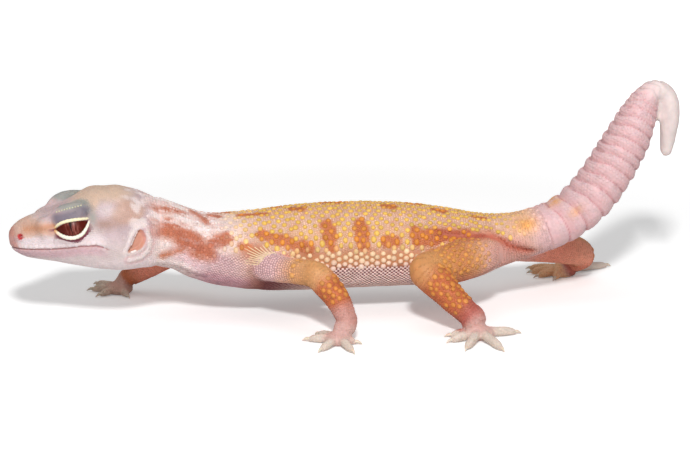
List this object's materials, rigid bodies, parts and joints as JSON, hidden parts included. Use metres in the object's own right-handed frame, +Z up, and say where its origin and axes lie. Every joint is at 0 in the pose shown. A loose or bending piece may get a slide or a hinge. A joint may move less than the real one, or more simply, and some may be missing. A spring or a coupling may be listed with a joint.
{
  "type": "leopard gecko",
  "caption": "Leopard gecko standing with its head level and its ringed tail lifted and hooked at the tip; a still, life-size model that rests on its own feet.",
  "frame": {"origin": "middle of the animal's plan outline on the ground, level with the soles", "axes": "+X from the head towards the tail, +Y to the animal's right, +Z up"},
  "size_m": [0.1628, 0.0732, 0.0541],
  "materials": {
    "head_skin": "fine pink and tan scales, satin",
    "back_skin": "yellow-orange knobbed scales, satin",
    "limb_skin": "orange scales fading to pink, satin",
    "tail_skin": "pale pink ringed scales, satin",
    "eye": "wet, dark red",
    "claw": "translucent horn"
  },
  "bodies": {
    "root": {"head": "head_skin", "lower_jaw": "head_skin", "eye_left": "eye", "eye_right": "eye", "neck": "back_skin", "chest": "back_skin", "belly": "back_skin", "hips": "back_skin", "tail_base": "tail_skin", "tail_middle": "tail_skin", "tail_end": "tail_skin", "tail_tip": "tail_skin", "front_left_upper_arm": "limb_skin", "front_left_forearm": "limb_skin", "front_left_hand": "limb_skin", "front_left_claw_1": "claw", "front_left_claw_2": "claw", "front_left_claw_3": "claw", "front_left_claw_4": "claw", "front_left_claw_5": "claw", "front_right_upper_arm": "limb_skin", "front_right_forearm": "limb_skin", "front_right_hand": "limb_skin", "front_right_claw_1": "claw", "front_right_claw_2": "claw", "front_right_claw_3": "claw", "front_right_claw_4": "claw", "front_right_claw_5": "claw", "hind_left_thigh": "limb_skin", "hind_left_shin": "limb_skin", "hind_left_foot": "limb_skin", "hind_left_claw_1": "claw", "hind_left_claw_2": "claw", "hind_left_claw_3": "claw", "hind_left_claw_4": "claw", "hind_left_claw_5": "claw", "hind_right_thigh": "limb_skin", "hind_right_shin": "limb_skin", "hind_right_foot": "limb_skin", "hind_right_claw_1": "claw", "hind_right_claw_2": "claw", "hind_right_claw_3": "claw", "hind_right_claw_4": "claw", "hind_right_claw_5": "claw"}
  },
  "joints": []
}
